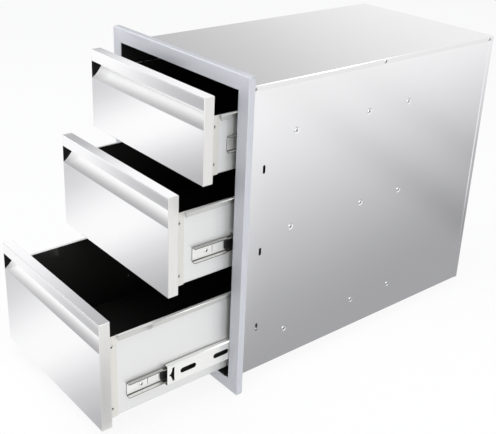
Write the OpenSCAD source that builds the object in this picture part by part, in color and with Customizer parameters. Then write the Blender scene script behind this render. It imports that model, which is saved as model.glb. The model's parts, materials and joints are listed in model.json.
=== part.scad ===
// Built-in outdoor kitchen drawer unit: a face frame, a folded sheet steel box and
// three drawers on full-extension ball-bearing slides, standing partly open.
// X runs to the right, Y to the back, Z up, in millimetres. The origin is on the
// centre line, where the box's underside meets the front plane of the counter.

/* [Face frame] */
// Overall width of the face frame
frame_w = 356; // [300:1:460]
// Overall height of the face frame
frame_h = 535; // [500:1:640]
// Depth of the folded edge that meets the counter front
frame_depth = 11; // [6:0.5:20]
// Width of the side borders
border_side = 24; // [18:0.5:36]
// Height of the top border
border_top = 24; // [18:0.5:36]
// Height of the bottom border
border_bottom = 20.5; // [18:0.5:36]
// Thickness of the frame's sheet
frame_sheet = 1; // [0.8:0.1:1.5]
// Radius of the frame's outer corners
frame_corner_r = 3; // [1.6:0.2:8]
// Depth of the edges folded back along the opening's sides
opening_fold = 7; // [4:0.5:10]

/* [Box] */
// Depth of the box behind the counter front
box_depth = 576; // [520:1:700]
// Thickness of the box's sheet
box_sheet = 1; // [0.8:0.1:1.5]
// How far the side walls stand outside the opening's edges
wall_setback = 2.25; // [1.9:0.05:4]
// How far the floor and the lid stand clear of the opening's edges
floor_step = 0.5; // [0:0.1:1]
// Height of the lid's and the back's folded side edges
lid_fold = 8.5; // [8:0.5:14]
// Width of the flanges behind the face frame
front_flange = 11; // [6:0.5:13]
// How far the flanges stop short of the box's corners
corner_relief = 10; // [9:0.5:20]
// Height of the floor's upturned edges
floor_fold = 12; // [8:0.5:16]

/* [Fixing slots] */
// Distance of the fixing slots behind the counter front
fixing_y = 42.4; // [30:0.1:60]
// Height of the middle fixing slot
fixing_z = 219.5; // [210:0.1:225]
// Distance from one fixing slot to the next
fixing_pitch = 139; // [130:0.5:145]
// Length of a fixing slot
fixing_len = 14; // [8:0.5:18]
// Width of a fixing slot
fixing_w = 5; // [3:0.1:6]

/* [Drawer fronts] */
// Height of the top drawer's front
top_front_h = 133; // [118:1:150]
// Height of the middle drawer's front
middle_front_h = 162; // [140:1:180]
// Gap between two fronts
front_gap = 2.2; // [1:0.1:4]
// Gap above the top drawer's front
gap_above = 2.3; // [1:0.1:4]
// Gap below the bottom drawer's front
gap_below = 4.8; // [2:0.1:8]
// Gap at each side of a front
gap_beside = 1.25; // [0.8:0.05:3]
// Thickness of a front from face to back
front_t = 18; // [15:0.5:24]
// Thickness of the fronts' sheet
front_sheet = 1; // [0.8:0.1:1.5]
// Width of the lips folded in behind a front
front_lip = 12; // [11:0.5:16]

/* [Finger pull] */
// Height of the flat band above the finger pull
pull_band = 19; // [14:0.5:26]
// Height of the finger pull's mouth
pull_mouth = 29; // [24:0.5:36]
// Radius of the hollow that the fingers slide up
pull_r = 55; // [35:1:90]
// Height of the hem folded up behind the band's lower edge
pull_hem = 9; // [5:0.5:12]

/* [Drawer trays] */
// How much longer a tray is than its slides
tray_extra = 10; // [0:1:40]
// Thickness of a tray's sheet
tray_sheet = 1; // [0.8:0.1:1.5]
// Height of a tray's underside above the front's lower edge
tray_lift = 9; // [6:0.5:11]
// How far a tray's rim lies below the front's upper edge
tray_drop = 33; // [26:0.5:40]
// Width of the rim folded outward along a tray's sides
rim_w = 5; // [3:0.5:6]
// Height of the rim's folded-down edge
rim_h = 8; // [4:0.5:10]
// How far the plate behind a front reaches above the tray's rim
backing_rise = 9; // [3:0.5:12]
// Length of the backing's edges along the tray's sides
backing_fold = 15.5; // [14:0.5:26]
// Gap between the backing's edges and the rim
rim_start_gap = 1; // [0.5:0.1:4]

/* [Slides] */
// Length of a slide, which is also a drawer's full travel
slide_len = 450; // [400:10:460]
// Height of a slide
slide_h = 45; // [42:0.5:46]
// Thickness of a slide between the box and the tray
slide_t = 12.7; // [12.2:0.1:14]
// Thickness of the slides' sheet
slide_sheet = 1.2; // [1:0.1:1.3]
// Distance of the slides behind the counter front
slide_y = 25; // [12:0.5:28]
// How much shorter the drawer member is than the slide
member_short = 25; // [20:1:60]
// Distance of the drawer member behind the face of its front
member_setback = 49; // [46:0.5:60]
// Diameter of the slides' balls
ball_d = 3.5; // [3:0.1:3.6]
// Play between a ball and its track
ball_play = 0.2; // [0.1:0.05:0.3]
// Thickness of the ball cages
cage_t = 0.5; // [0.4:0.05:0.6]
// Gap between a cage and the members on both sides of it
cage_gap = 0.25; // [0.2:0.05:0.3]
// Length of a ball cage
cage_len = 104; // [80:2:110]
// Balls in one row of a cage
balls_per_row = 4; // [3:1:5]
// Gap between the middle member and the opening's edge
pass_gap = 0.6; // [0.4:0.05:0.7]
// Slide centre above the lower edge of the top drawer's front
top_slide_z = 52.5; // [48:0.5:56]
// Slide centre above the lower edge of the middle drawer's front
middle_slide_z = 54; // [50:0.5:58]
// Slide centre above the lower edge of the bottom drawer's front
bottom_slide_z = 49.5; // [44:0.5:51]

/* [Fasteners] */
// Distance of a slide's first rivet behind the counter front
rivet_y = 104.6; // [90:0.1:120]
// Distance from the first rivet to the second
rivet_pitch_front = 160; // [128:32:192]
// Distance from the second rivet to the third
rivet_pitch_back = 96; // [64:32:160]
// Radius of the dimples in the side panels
dimple_r = 5.5; // [5:0.1:7]
// Radius of a rivet's head
rivet_head_r = 3.4; // [3:0.1:3.8]
// Height of a rivet's head
rivet_head_h = 1; // [0.6:0.1:1.2]
// Radius of a rivet's shank
rivet_r = 2; // [1.5:0.1:2.2]
// Radius of a screw's head
screw_head_r = 3.4; // [3:0.1:3.8]
// Height of a screw's head
screw_head_h = 1.6; // [1.2:0.1:1.8]
// Radius of a screw's shank
screw_r = 1.9; // [1.5:0.1:2.2]
// Play round a rivet or a screw in its hole
hole_play = 0.1; // [0.05:0.05:0.2]
// Distance of a slide screw behind the face of its front
member_screw_y = 74; // [66:1:80]
// Distance from one slide screw to the next
member_screw_pitch = 160; // [128:32:160]
// Distance of the bracket screws from the tray's rim
bracket_screw_top = 16; // [14:0.5:18]
// Distance of the bracket screws from the tray's underside
bracket_screw_bottom = 17.5; // [15:0.5:20]
// Distance of the bracket screws behind the front
bracket_screw_y = 5.5; // [5:0.5:8]

/* [Release levers] */
// Distance of a release lever's thumb tab behind the face of its front
lever_y = 108; // [100:1:116]
// Length of a release lever from its tab to its pin
lever_reach = 56; // [40:1:66]
// Height of the thumb tab
lever_tab_h = 14; // [10:0.5:15]
// Length of the thumb tab
lever_tab_len = 14; // [8:0.5:18]
// Height of the lever's arm
lever_arm_h = 7; // [5:0.5:9]
// Thickness of the lever's arm
lever_t = 2.4; // [2:0.1:3]
// Radius of the pin that the lever swings on
lever_pin_r = 3; // [2:0.1:3.4]
// Play round the pin and behind the lever
lever_play = 0.08; // [0.04:0.01:0.1]

/* [Rest position] */
// How far the top drawer stands open
top_open = 58; // [0:0.5:400]
// How far the middle drawer stands open
middle_open = 117.5; // [0:0.5:400]
// How far the bottom drawer stands open
bottom_open = 235; // [0:0.5:400]
// How far the top drawer's middle members stand out, as a share of its opening
top_share = 0.5; // [0.27:0.01:0.7]
// The same share for the middle drawer
middle_share = 0.27; // [0.27:0.01:0.7]
// The same share for the bottom drawer
bottom_share = 0.66; // [0.27:0.01:0.7]

/* [Hidden] */
$fn = 48;

// Colours of the finishes
STEEL_BRUSHED = [0.72, 0.73, 0.76];
STEEL_POLISHED = [0.86, 0.87, 0.88];
STEEL_BOX = [0.76, 0.77, 0.78];
STEEL_TRAY = [0.9, 0.9, 0.88];
ZINC = [0.82, 0.83, 0.82];
BALL_STEEL = [0.62, 0.63, 0.65];
BLACK_PLASTIC = [0.08, 0.08, 0.08];

// Opening in the face frame
opening_x = frame_w / 2 - border_side;
frame_z0 = box_sheet - floor_step - border_bottom;
opening_z0 = frame_z0 + border_bottom;
opening_z1 = frame_z0 + frame_h - border_top;
face_y = -frame_depth;
flange_y = face_y + frame_sheet;

// Box behind the frame: the side walls' inner and outer faces and the folded edges' outside
wall_in = opening_x + wall_setback;
wall_out = wall_in + box_sheet;
fold_out = wall_out + box_sheet;
lid_z = opening_z1 + floor_step;
box_z1 = lid_z + box_sheet;

// Slides, measured inward from the outer face of the cabinet member
race = slide_sheet + ball_d + 2 * ball_play;
layer = slide_sheet + cage_t + 2 * cage_gap;
middle_h = slide_h - 2 * race;
member_h = middle_h - 2 * race;
outer_ball_z = slide_h / 2 - slide_sheet - ball_play - ball_d / 2;
inner_ball_z = middle_h / 2 - slide_sheet - ball_play - ball_d / 2;
pocket_r = ball_d / 2 + 0.15;
pocket_wall = 0.5;
track_in = 1;
slide_x = opening_x - pass_gap + layer;
dimple_depth = wall_in - slide_x;
tray_x = slide_x - slide_t;
member_len = slide_len - member_short;
nib_h = 1.5;

// Cut-outs in the slide members: their lengths, widths and distances from a member's front
long_slot = [40, 6];
cabinet_slot = [26, 6];
latch_slot = [30, 9];
latch_slot_y = [39.5, 103.5];
latch_y = 9;
latch_back_y = 126;
rear_slot_y = 170;
rear_slots = 4;
slot_end_gap = 40;

// Fronts, one entry per drawer from the top: lower edge, height, opening and slide height
bottom_front_h = opening_z1 - opening_z0 - gap_above - gap_below - 2 * front_gap
    - top_front_h - middle_front_h;
front_h = [top_front_h, middle_front_h, bottom_front_h];
front_z = [
    opening_z1 - gap_above - top_front_h,
    opening_z1 - gap_above - top_front_h - front_gap - middle_front_h,
    opening_z0 + gap_below
];
drawer_open = [top_open, middle_open, bottom_open];
share = [top_share, middle_share, bottom_share];
slide_z = [front_z[0] + top_slide_z, front_z[1] + middle_slide_z, front_z[2] + bottom_slide_z];
front_x = opening_x - gap_beside;
backing_t = front_sheet;
tray_y = front_t + backing_t;
tray_len = slide_len + tray_extra;
tray_back_fold = 10;
lid_rivet_front = 17.5;
lid_rivet_back = box_depth - 12.5;
screw_tail = 0.8;

function tray_z0(i) = front_z[i] + tray_lift;
function tray_z1(i) = front_z[i] + front_h[i] - tray_drop;
function side_of(side) = side == "right" ? 1 : -1;

// Block from one corner to the other
module block(low, high) {
    translate(low) cube(high - low);
}

// Child drawn once on the right and once, mirrored, on the left
module both_sides() {
    children();
    mirror([1, 0, 0]) children();
}

// Child drawn on the right, or mirrored on the left
module on_side(side) {
    mirror([side_of(side) < 0 ? 1 : 0, 0, 0]) children();
}

// Flat outline drawn in X and Z, run along Y
module run_along_y(y, length) {
    translate([0, y + length, 0]) rotate([90, 0, 0]) linear_extrude(length) children();
}

// Flat outline drawn in Y and Z, run along X
module run_along_x(x, length) {
    translate([x, 0, 0]) rotate([90, 0, 90]) linear_extrude(length) children();
}

// Round bar along X
module bar_x(x, length, r, y = 0, z = 0) {
    translate([x, y, z]) rotate([0, 90, 0]) cylinder(h = length, r = r);
}

// Cutter along X for a slot with round ends
module slot_cut(x, length, y, z, slot_len, slot_w, upright = false) {
    reach = (slot_len - slot_w) / 2;
    step = upright ? [0, 0, reach] : [0, reach, 0];
    half = upright ? [0, slot_w / 2, reach] : [0, reach, slot_w / 2];
    centre = [x, y, z];
    block(centre - half, centre + half + [length, 0, 0]);
    for (end = [-1, 1]) bar_x(x, length, slot_w / 2, y + end * step[1], z + end * step[2]);
}

// Rivet or screw through a wall from outside, lying along X, head at its outer end
module stud_x(x_in, x_out, head_h, head_r, shank_r, y, z) {
    bar_x(x_in, x_out - x_in, shank_r, y, z);
    bar_x(x_out, head_h, head_r, y, z);
}

// Places of a slide's rivets on a side panel
module at_rivets() {
    for (i = [0:2], y = [rivet_y, rivet_y + rivet_pitch_front,
            rivet_y + rivet_pitch_front + rivet_pitch_back])
        translate([0, y, slide_z[i]]) children();
}

// Places of the lid's rivets on a side panel
module at_lid_rivets() {
    for (y = [lid_rivet_front, (lid_rivet_front + lid_rivet_back) / 2, lid_rivet_back])
        translate([0, y, box_z1 - lid_fold / 2]) children();
}

// Places of the screws that hold the drawer member to the tray
module at_member_screws() {
    for (n = [0:2]) translate([0, member_screw_y + n * member_screw_pitch, 0]) children();
}

// Places of the screws through the backing's edges, for drawer i
module at_bracket_screws(i) {
    for (z = [tray_z0(i) + bracket_screw_bottom, tray_z1(i) - bracket_screw_top])
        translate([0, front_t + bracket_screw_y, z]) children();
}

// Child moved out with drawer i, from the closed position where y 0 is the front's face
module with_drawer(i) {
    translate([0, face_y - drawer_open[i], 0]) children();
}

// Frame folded back along its outer edge and along the opening's sides
module face_frame() {
    color(STEEL_BRUSHED) {
        difference() {
            run_along_y(face_y, frame_depth)
                translate([-frame_w / 2 + frame_corner_r, frame_z0 + frame_corner_r])
                    rounded_outline(frame_w, frame_h, frame_corner_r);
            run_along_y(flange_y, frame_depth)
                translate([-frame_w / 2 + frame_corner_r, frame_z0 + frame_corner_r])
                    rounded_outline(frame_w, frame_h, frame_corner_r, frame_sheet);
            block([-opening_x, face_y - 1, opening_z0], [opening_x, 1, opening_z1]);
        }
        both_sides() block([opening_x, face_y, opening_z0 + 2 * floor_step],
            [opening_x + frame_sheet, face_y + opening_fold, opening_z1 - 2 * floor_step]);
    }
}

// Outline with round corners, drawn from its lower left corner's centre and cut back by inset
module rounded_outline(w, h, r, inset = 0) {
    corner = r - inset;
    translate([0, -corner]) square([w - 2 * r, h - 2 * r + 2 * corner]);
    translate([-corner, 0]) square([w - 2 * r + 2 * corner, h - 2 * r]);
    for (x = [0, w - 2 * r], y = [0, h - 2 * r]) translate([x, y]) circle(r = corner);
}

// Side wall with its front flange, dimples, rivet holes and fixing slots
module side_panel(side) {
    color(STEEL_BOX) on_side(side) difference() {
        union() {
            block([wall_in, flange_y, 0], [wall_out, box_depth - box_sheet, lid_z]);
            block([wall_in, flange_y, corner_relief],
                [wall_out + front_flange, flange_y + box_sheet, lid_z - corner_relief]);
            at_rivets() bar_x(slide_x, wall_out - slide_x, dimple_r + box_sheet);
        }
        at_rivets() bar_x(wall_out - dimple_depth, box_sheet + dimple_depth, dimple_r);
        at_rivets() bar_x(slide_x - 1, 2 + wall_out - slide_x, rivet_r + hole_play);
        at_lid_rivets() bar_x(wall_in - 1, box_sheet + 2, rivet_r + hole_play);
        for (n = [-1:1])
            slot_cut(wall_in - 1, box_sheet + 2, fixing_y, fixing_z + n * fixing_pitch,
                fixing_len, fixing_w, true);
    }
}

module lid() {
    color(STEEL_BOX) difference() {
        union() {
            block([-fold_out, flange_y, lid_z], [fold_out, box_depth, box_z1]);
            block([corner_relief - wall_out, flange_y, lid_z],
                [wall_out - corner_relief, flange_y + box_sheet, box_z1 + front_flange]);
            both_sides()
                block([wall_out, flange_y, box_z1 - lid_fold], [fold_out, box_depth, box_z1]);
        }
        both_sides() at_lid_rivets() bar_x(wall_out - 1, box_sheet + 2, rivet_r + hole_play);
    }
}

module floor_panel() {
    color(STEEL_BOX) {
        block([-wall_in, flange_y, 0], [wall_in, box_depth - box_sheet, box_sheet]);
        block([corner_relief - wall_in, flange_y, -front_flange],
            [wall_in - corner_relief, flange_y + box_sheet, box_sheet]);
        block([-wall_in, box_depth - 2 * box_sheet, 0], [wall_in, box_depth - box_sheet, floor_fold]);
        both_sides() block([wall_in - box_sheet, flange_y, 0], [wall_in, box_depth - box_sheet, floor_fold]);
    }
}

module back_panel() {
    color(STEEL_BOX) {
        block([-fold_out, box_depth - box_sheet, 0], [fold_out, box_depth, box_z1 - lid_fold]);
        block([-wall_out, box_depth - box_sheet, 0], [wall_out, box_depth, lid_z]);
        both_sides()
            block([wall_out, box_depth - lid_fold, 0], [fold_out, box_depth, box_z1 - lid_fold]);
    }
}

module slide_rivets() {
    color(ZINC) both_sides() at_rivets()
        stud_x(slide_x - slide_sheet, wall_out - dimple_depth, rivet_head_h, rivet_head_r, rivet_r, 0, 0);
}

module lid_rivets() {
    color(ZINC) both_sides() at_lid_rivets()
        stud_x(wall_in, fold_out, rivet_head_h, rivet_head_r, rivet_r, 0, 0);
}

// Cross-section of a slide member: its web, two lips and the nibs that keep the balls in
module member_outline(x0, x1, h, web_at_x1, nib) {
    web = web_at_x1 ? x1 - slide_sheet : x0;
    translate([web, -h / 2]) square([slide_sheet, h]);
    for (end = [-1, 1]) scale([1, end]) {
        translate([x0, h / 2 - slide_sheet]) square([x1 - x0, slide_sheet]);
        translate([x1 - slide_sheet, h / 2 - slide_sheet - nib]) square([slide_sheet, slide_sheet + nib]);
    }
}

// Depth at which a row of balls runs, and where its cage and the nib outside it end
function ball_x(web_in) = web_in + track_in + ball_d / 2;
function cage_end(web_in) = ball_x(web_in) + pocket_r + pocket_wall;
function nib_end(web_in) = cage_end(web_in) + cage_gap + slide_sheet;

// Child placed on a slide, where x is measured inward from the cabinet member's outer face
module on_slide(i, side) {
    on_side(side) translate([slide_x, 0, slide_z[i]]) mirror([1, 0, 0]) children();
}

module cabinet_member(i, side) {
    color(ZINC) on_slide(i, side) difference() {
        run_along_y(slide_y, slide_len)
            member_outline(0, nib_end(layer), slide_h, false, nib_h);
        for (y = [rivet_y, rivet_y + rivet_pitch_front, rivet_y + rivet_pitch_front + rivet_pitch_back])
            bar_x(-1, slide_sheet + 2, rivet_r + hole_play, y);
        for (y = [rivet_y + rivet_pitch_front / 2, slide_y + slide_len - slot_end_gap])
            slot_cut(-1, slide_sheet + 2, y, 0, cabinet_slot[0], cabinet_slot[1]);
    }
}

// Middle member, its share of the drawer's opening further out, with its windows and slots
module middle_member(i, side) {
    y = slide_y - share[i] * drawer_open[i];
    rear_pitch = (slide_len - slot_end_gap - rear_slot_y) / (rear_slots - 1);
    color(ZINC) on_slide(i, side) difference() {
        run_along_y(y, slide_len)
            translate([layer, 0]) member_outline(0, nib_end(layer), middle_h, false, nib_h);
        for (from_front = latch_slot_y)
            slot_cut(layer - 1, slide_sheet + 2, y + from_front, 0, latch_slot[0], latch_slot[1]);
        for (n = [0:rear_slots - 1])
            slot_cut(layer - 1, slide_sheet + 2, y + rear_slot_y + n * rear_pitch, 0,
                long_slot[0], long_slot[1]);
        run_along_x(layer - 1, slide_sheet + 2) {
            translate([y + latch_y, 0]) latch_outline();
            translate([y + latch_back_y, 0]) mirror([1, 0]) latch_outline();
        }
    }
}

// Arrow-shaped window in the middle member's web, pointing to the front
module latch_outline() {
    upper_half = [[-6, 0], [-2.5, 2.5], [-0.5, 6.5], [0.5, 12], [4.5, 12.5], [4, 5]];
    polygon(concat(upper_half, [for (n = [5:-1:1]) [upper_half[n][0], -upper_half[n][1]]]));
}

// Member on the tray, with its screw holes, the hole for the lever's pin and a slot
module drawer_member(i, side) {
    color(ZINC) with_drawer(i) on_slide(i, side) difference() {
        run_along_y(member_setback, member_len)
            member_outline(2 * layer, slide_t, member_h, true, 0);
        at_member_screws() bar_x(slide_t - slide_sheet - 1, slide_sheet + 2, screw_r + hole_play);
        bar_x(slide_t - slide_sheet - 1, slide_sheet + 2, lever_pin_r + lever_play,
            lever_y + lever_reach);
        slot_cut(slide_t - slide_sheet - 1, slide_sheet + 2,
            member_screw_y + member_screw_pitch * 3 / 2, 0, long_slot[0], long_slot[1]);
    }
}

// Ball cage: a thin strip between two members with its rows of balls at height z
module cage(web_in, z, y) {
    x0 = web_in - cage_gap - cage_t;
    flange = cage_end(web_in) - x0;
    difference() {
        union() {
            block([x0, y, -z], [x0 + cage_t, y + cage_len, z]);
            for (end = [-1, 1]) block([x0, y, end * z - cage_t / 2],
                [x0 + flange, y + cage_len, end * z + cage_t / 2]);
        }
        at_balls(web_in, z, y) translate([0, 0, -cage_t]) cylinder(h = 2 * cage_t, r = pocket_r);
    }
}

// Places of the balls of one cage
module at_balls(web_in, z, y) {
    pitch = cage_len / balls_per_row;
    for (n = [0:balls_per_row - 1], end = [-1, 1])
        translate([ball_x(web_in), y + (n + 0.5) * pitch, end * z]) children();
}

// Where a cage stands: in the middle of the stretch that both its members cover, shut or fully
// out, less half of what the two members have moved together
function outer_cage_y(i) = slide_y + (slide_len - cage_len) / 2 - share[i] * drawer_open[i] / 2;
function inner_cage_y(i) = (slide_y + face_y + member_setback + member_len - cage_len) / 2
    - (1 + share[i]) * drawer_open[i] / 2;

module cages(i, inner) {
    color(ZINC) for (side = ["left", "right"]) on_slide(i, side)
        if (inner) cage(2 * layer, inner_ball_z, inner_cage_y(i));
        else cage(layer, outer_ball_z, outer_cage_y(i));
}

module balls(i, inner) {
    color(BALL_STEEL) for (side = ["left", "right"]) on_slide(i, side)
        if (inner) at_balls(2 * layer, inner_ball_z, inner_cage_y(i)) sphere(d = ball_d);
        else at_balls(layer, outer_ball_z, outer_cage_y(i)) sphere(d = ball_d);
}

// Side view of a front's folded sheet, in depth and height from its lower edge
module front_outline(h) {
    crease = [0, h - pull_band - pull_mouth];
    top = [front_t - front_sheet, crease[1] + front_t - front_sheet];
    chord = norm(top - crease);
    middle = (crease + top) / 2;
    centre = middle + sqrt(pull_r * pull_r - chord * chord / 4) * [-1, 1] / sqrt(2);
    translate([0, h - pull_band]) square([front_sheet, pull_band]);
    translate([0, h - pull_band]) square([2 * front_sheet, pull_hem]);
    translate([0, h - front_sheet]) square([front_t, front_sheet]);
    translate([front_t - front_sheet, top[1] - front_sheet])
        square([front_sheet, h - top[1] + front_sheet]);
    square([front_sheet, crease[1]]);
    square([front_t, front_sheet]);
    translate([front_t - front_sheet, 0]) square([front_sheet, front_lip]);
    intersection() {
        difference() {
            translate(centre) circle(r = pull_r + front_sheet, $fn = 180);
            translate(centre) circle(r = pull_r, $fn = 180);
        }
        translate([0, crease[1] - 2 * front_sheet]) square([front_t, front_t + 2 * front_sheet]);
    }
}

// Folded front: face, finger pull, top, ends and the lips behind
module drawer_front(i) {
    pull_top = front_h[i] - pull_band - pull_mouth + front_t;
    color(STEEL_POLISHED) with_drawer(i) translate([0, 0, front_z[i]]) {
        run_along_x(-front_x, 2 * front_x) front_outline(front_h[i]);
        both_sides() {
            block([front_x - front_sheet, 0, 0], [front_x, front_t, front_h[i]]);
            block([front_x - front_lip, front_t - front_sheet, 0], [front_x, front_t, pull_top]);
        }
    }
}

// Plate behind the front, whose edges run back along the tray's sides
module backing(i) {
    edge_x = tray_x + backing_t;
    color(STEEL_TRAY) with_drawer(i) difference() {
        union() {
            block([-edge_x, front_t, tray_z0(i)], [edge_x, tray_y, tray_z1(i)]);
            block([-edge_x, front_t, tray_z1(i)], [edge_x, tray_y, tray_z1(i) + backing_rise]);
            both_sides()
                block([tray_x, front_t, tray_z0(i)], [edge_x, front_t + backing_fold, tray_z1(i)]);
        }
        both_sides() at_bracket_screws(i) bar_x(tray_x - 1, backing_t + 2, screw_r + hole_play);
    }
}

// Tray's floor and sides, folded from one sheet, with a rim folded outward
module tray(i) {
    rim_y = front_t + backing_fold + rim_start_gap;
    y1 = tray_y + tray_len;
    z0 = tray_z0(i);
    z1 = tray_z1(i);
    color(STEEL_TRAY) with_drawer(i) difference() {
        union() {
            block([-tray_x, tray_y, z0], [tray_x, y1, z0 + tray_sheet]);
            both_sides() {
                block([tray_x - tray_sheet, tray_y, z0], [tray_x, y1, z1]);
                block([tray_x - tray_sheet, rim_y, z1 - tray_sheet], [tray_x + rim_w, y1, z1]);
                block([tray_x + rim_w - tray_sheet, rim_y, z1 - rim_h], [tray_x + rim_w, y1, z1]);
            }
        }
        both_sides() {
            at_bracket_screws(i) bar_x(tray_x - tray_sheet - 1, tray_sheet + 2, screw_r + hole_play);
            translate([0, 0, slide_z[i]]) at_member_screws()
                bar_x(tray_x - tray_sheet - 1, tray_sheet + 2, screw_r + hole_play);
        }
    }
}

// Tray's rear wall with its folded sides
module tray_back(i) {
    x = tray_x - tray_sheet;
    y1 = tray_y + tray_len;
    color(STEEL_TRAY) with_drawer(i) {
        block([-x, y1 - tray_sheet, tray_z0(i) + tray_sheet], [x, y1, tray_z1(i)]);
        both_sides() block([x - tray_sheet, y1 - tray_back_fold, tray_z0(i) + tray_sheet], [x, y1, tray_z1(i)]);
    }
}

module drawer_screws(i) {
    color(ZINC) with_drawer(i) both_sides() {
        at_bracket_screws(i) stud_x(tray_x - tray_sheet - screw_tail, tray_x + backing_t,
            screw_head_h, screw_head_r, screw_r, 0, 0);
        translate([0, 0, slide_z[i]]) at_member_screws()
            stud_x(tray_x - tray_sheet - screw_tail, tray_x + slide_sheet,
                screw_head_h, screw_head_r, screw_r, 0, 0);
    }
}

// Lever that frees the drawer member: a thumb tab on an arm that swings on a moulded pin
module release_lever(i, side) {
    outer = slide_t - slide_sheet - lever_play;
    inner = outer - lever_t;
    color(BLACK_PLASTIC) with_drawer(i) on_slide(i, side) translate([0, lever_y, 0]) {
        block([inner, 0, -lever_arm_h / 2], [outer, lever_reach, lever_arm_h / 2]);
        block([inner - 1, 0, -lever_tab_h / 2], [outer, lever_tab_len, lever_tab_h / 2]);
        bar_x(inner, lever_t, lever_pin_r + 2, lever_reach);
        bar_x(inner, slide_t - lever_play - inner, lever_pin_r, lever_reach);
    }
}

face_frame();
lid();
floor_panel();
back_panel();
slide_rivets();
lid_rivets();
for (side = ["left", "right"])
    side_panel(side);
for (k = [1:3], side = ["left", "right"]) {
    cabinet_member(k - 1, side);
    middle_member(k - 1, side);
    drawer_member(k - 1, side);
    release_lever(k - 1, side);
}
for (k = [1:3]) {
    drawer_front(k - 1);
    backing(k - 1);
    tray(k - 1);
    tray_back(k - 1);
    drawer_screws(k - 1);
    cages(k - 1, false);
    cages(k - 1, true);
    balls(k - 1, false);
    balls(k - 1, true);
}
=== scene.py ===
# %% [markdown]
# An outdoor kitchen drawer unit, dressed in Blender. The unit is built from sheet steel: a face
# frame, a box and three drawers on ball-bearing slides. This file gives each one its finish, and
# models again the sheets whose bends, dishes and rims catch the light.

# %% Load the frame
import json
import math

import bmesh
import bpy
from mathutils import Matrix, Vector


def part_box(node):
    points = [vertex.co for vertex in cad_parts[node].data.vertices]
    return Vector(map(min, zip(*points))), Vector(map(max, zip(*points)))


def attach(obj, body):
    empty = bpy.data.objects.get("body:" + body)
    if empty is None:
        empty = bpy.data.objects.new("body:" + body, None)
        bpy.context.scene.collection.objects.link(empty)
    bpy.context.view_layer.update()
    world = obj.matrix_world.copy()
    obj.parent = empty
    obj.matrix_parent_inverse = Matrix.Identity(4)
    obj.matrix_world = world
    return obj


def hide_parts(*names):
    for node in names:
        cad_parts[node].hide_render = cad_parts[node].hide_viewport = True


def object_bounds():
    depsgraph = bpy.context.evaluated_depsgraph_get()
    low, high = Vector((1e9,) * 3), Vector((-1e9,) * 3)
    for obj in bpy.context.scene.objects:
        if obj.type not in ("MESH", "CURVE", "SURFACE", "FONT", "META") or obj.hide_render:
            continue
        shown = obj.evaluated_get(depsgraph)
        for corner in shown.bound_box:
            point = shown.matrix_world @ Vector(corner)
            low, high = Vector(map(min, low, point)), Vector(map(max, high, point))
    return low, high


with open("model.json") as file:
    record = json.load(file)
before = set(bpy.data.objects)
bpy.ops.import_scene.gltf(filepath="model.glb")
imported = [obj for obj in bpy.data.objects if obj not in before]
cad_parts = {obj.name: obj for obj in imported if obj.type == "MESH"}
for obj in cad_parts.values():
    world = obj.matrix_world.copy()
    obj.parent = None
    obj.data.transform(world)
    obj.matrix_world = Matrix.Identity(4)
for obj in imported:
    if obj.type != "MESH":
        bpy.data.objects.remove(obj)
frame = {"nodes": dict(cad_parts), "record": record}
cad_low, cad_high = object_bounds()
MM = 0.001
DRAWERS = (1, 2, 3)
SIDES = {"left": -1, "right": 1}
SLIDES = [(number, side) for number in DRAWERS for side in SIDES]


def in_mm(*lengths):
    return [round(length / MM, 1) for length in lengths]


print("unit", in_mm(*cad_high - cad_low), "mm")

# %% [markdown]
# The camera stands to the right of the unit and looks down on it. Its place came from the unit's own
# straight edges, which meet at three vanishing points. The photograph was cropped off centre, so the
# lens is shifted a little, which moves the picture without turning the camera. Turning it instead
# would have changed the perspective.

# %% Camera
CAMERA_PLACE = Vector((1053.0, -756.5, 856.9)) * MM
CAMERA_AZIMUTH = 50.775
CAMERA_ELEVATION = 23.809
CAMERA_ROLL = 1.918
CAMERA_LENS = 62.9
CAMERA_SHIFT = (0.0393, -0.0605)


def add_camera():
    data = bpy.data.cameras.new("camera")
    data.lens = CAMERA_LENS
    data.sensor_width = 36.0
    data.shift_x, data.shift_y = CAMERA_SHIFT
    data.clip_start = 0.05
    camera = bpy.data.objects.new("camera", data)
    turn = Matrix.Rotation(math.radians(CAMERA_AZIMUTH), 4, "Z")
    tilt = Matrix.Rotation(math.radians(90 - CAMERA_ELEVATION), 4, "X")
    roll = Matrix.Rotation(math.radians(CAMERA_ROLL), 4, "Z")
    camera.matrix_world = Matrix.Translation(CAMERA_PLACE) @ turn @ tilt @ roll
    bpy.context.collection.objects.link(camera)
    bpy.context.scene.camera = camera
    return camera


camera = add_camera()
print("camera", [round(c, 3) for c in camera.location])

# %% [markdown]
# Steel shows its surroundings, so the studio decides how it looks. The background is white for the
# camera and for reflections, and a little dimmer as a light, so that no surface burns out. One white
# for all would be simpler, but then it could not be both.

# %% World
WORLD_LIGHT = 0.6


def feed(tree, socket, value):
    """Joins a socket to another node's output, or sets it to a value."""
    if isinstance(value, bpy.types.NodeSocket):
        tree.links.new(value, socket)
    else:
        socket.default_value = value


def set_inputs(tree, node, **inputs):
    for name, value in inputs.items():
        feed(tree, node.inputs[name.replace("_", " ")], value)
    return node


def add_node(tree, kind, *values, operation=None, **inputs):
    """A shader node with its inputs given in their order or by name."""
    node = tree.nodes.new("ShaderNode" + kind)
    if operation:
        node.operation = operation
    for socket, value in zip(node.inputs, values):
        feed(tree, socket, value)
    return set_inputs(tree, node, **inputs)


def math_node(tree, operation, *values):
    return add_node(tree, "Math", *values, operation=operation).outputs[0]


def seen_directly(tree):
    """1 for what the camera sees, also in metal and glass, and 0 for light that falls on things."""
    ray = add_node(tree, "LightPath").outputs
    seen = math_node(tree, "MAXIMUM", ray["Is Camera Ray"], ray["Is Glossy Ray"])
    return math_node(tree, "MAXIMUM", seen, ray["Is Transmission Ray"])


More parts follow.
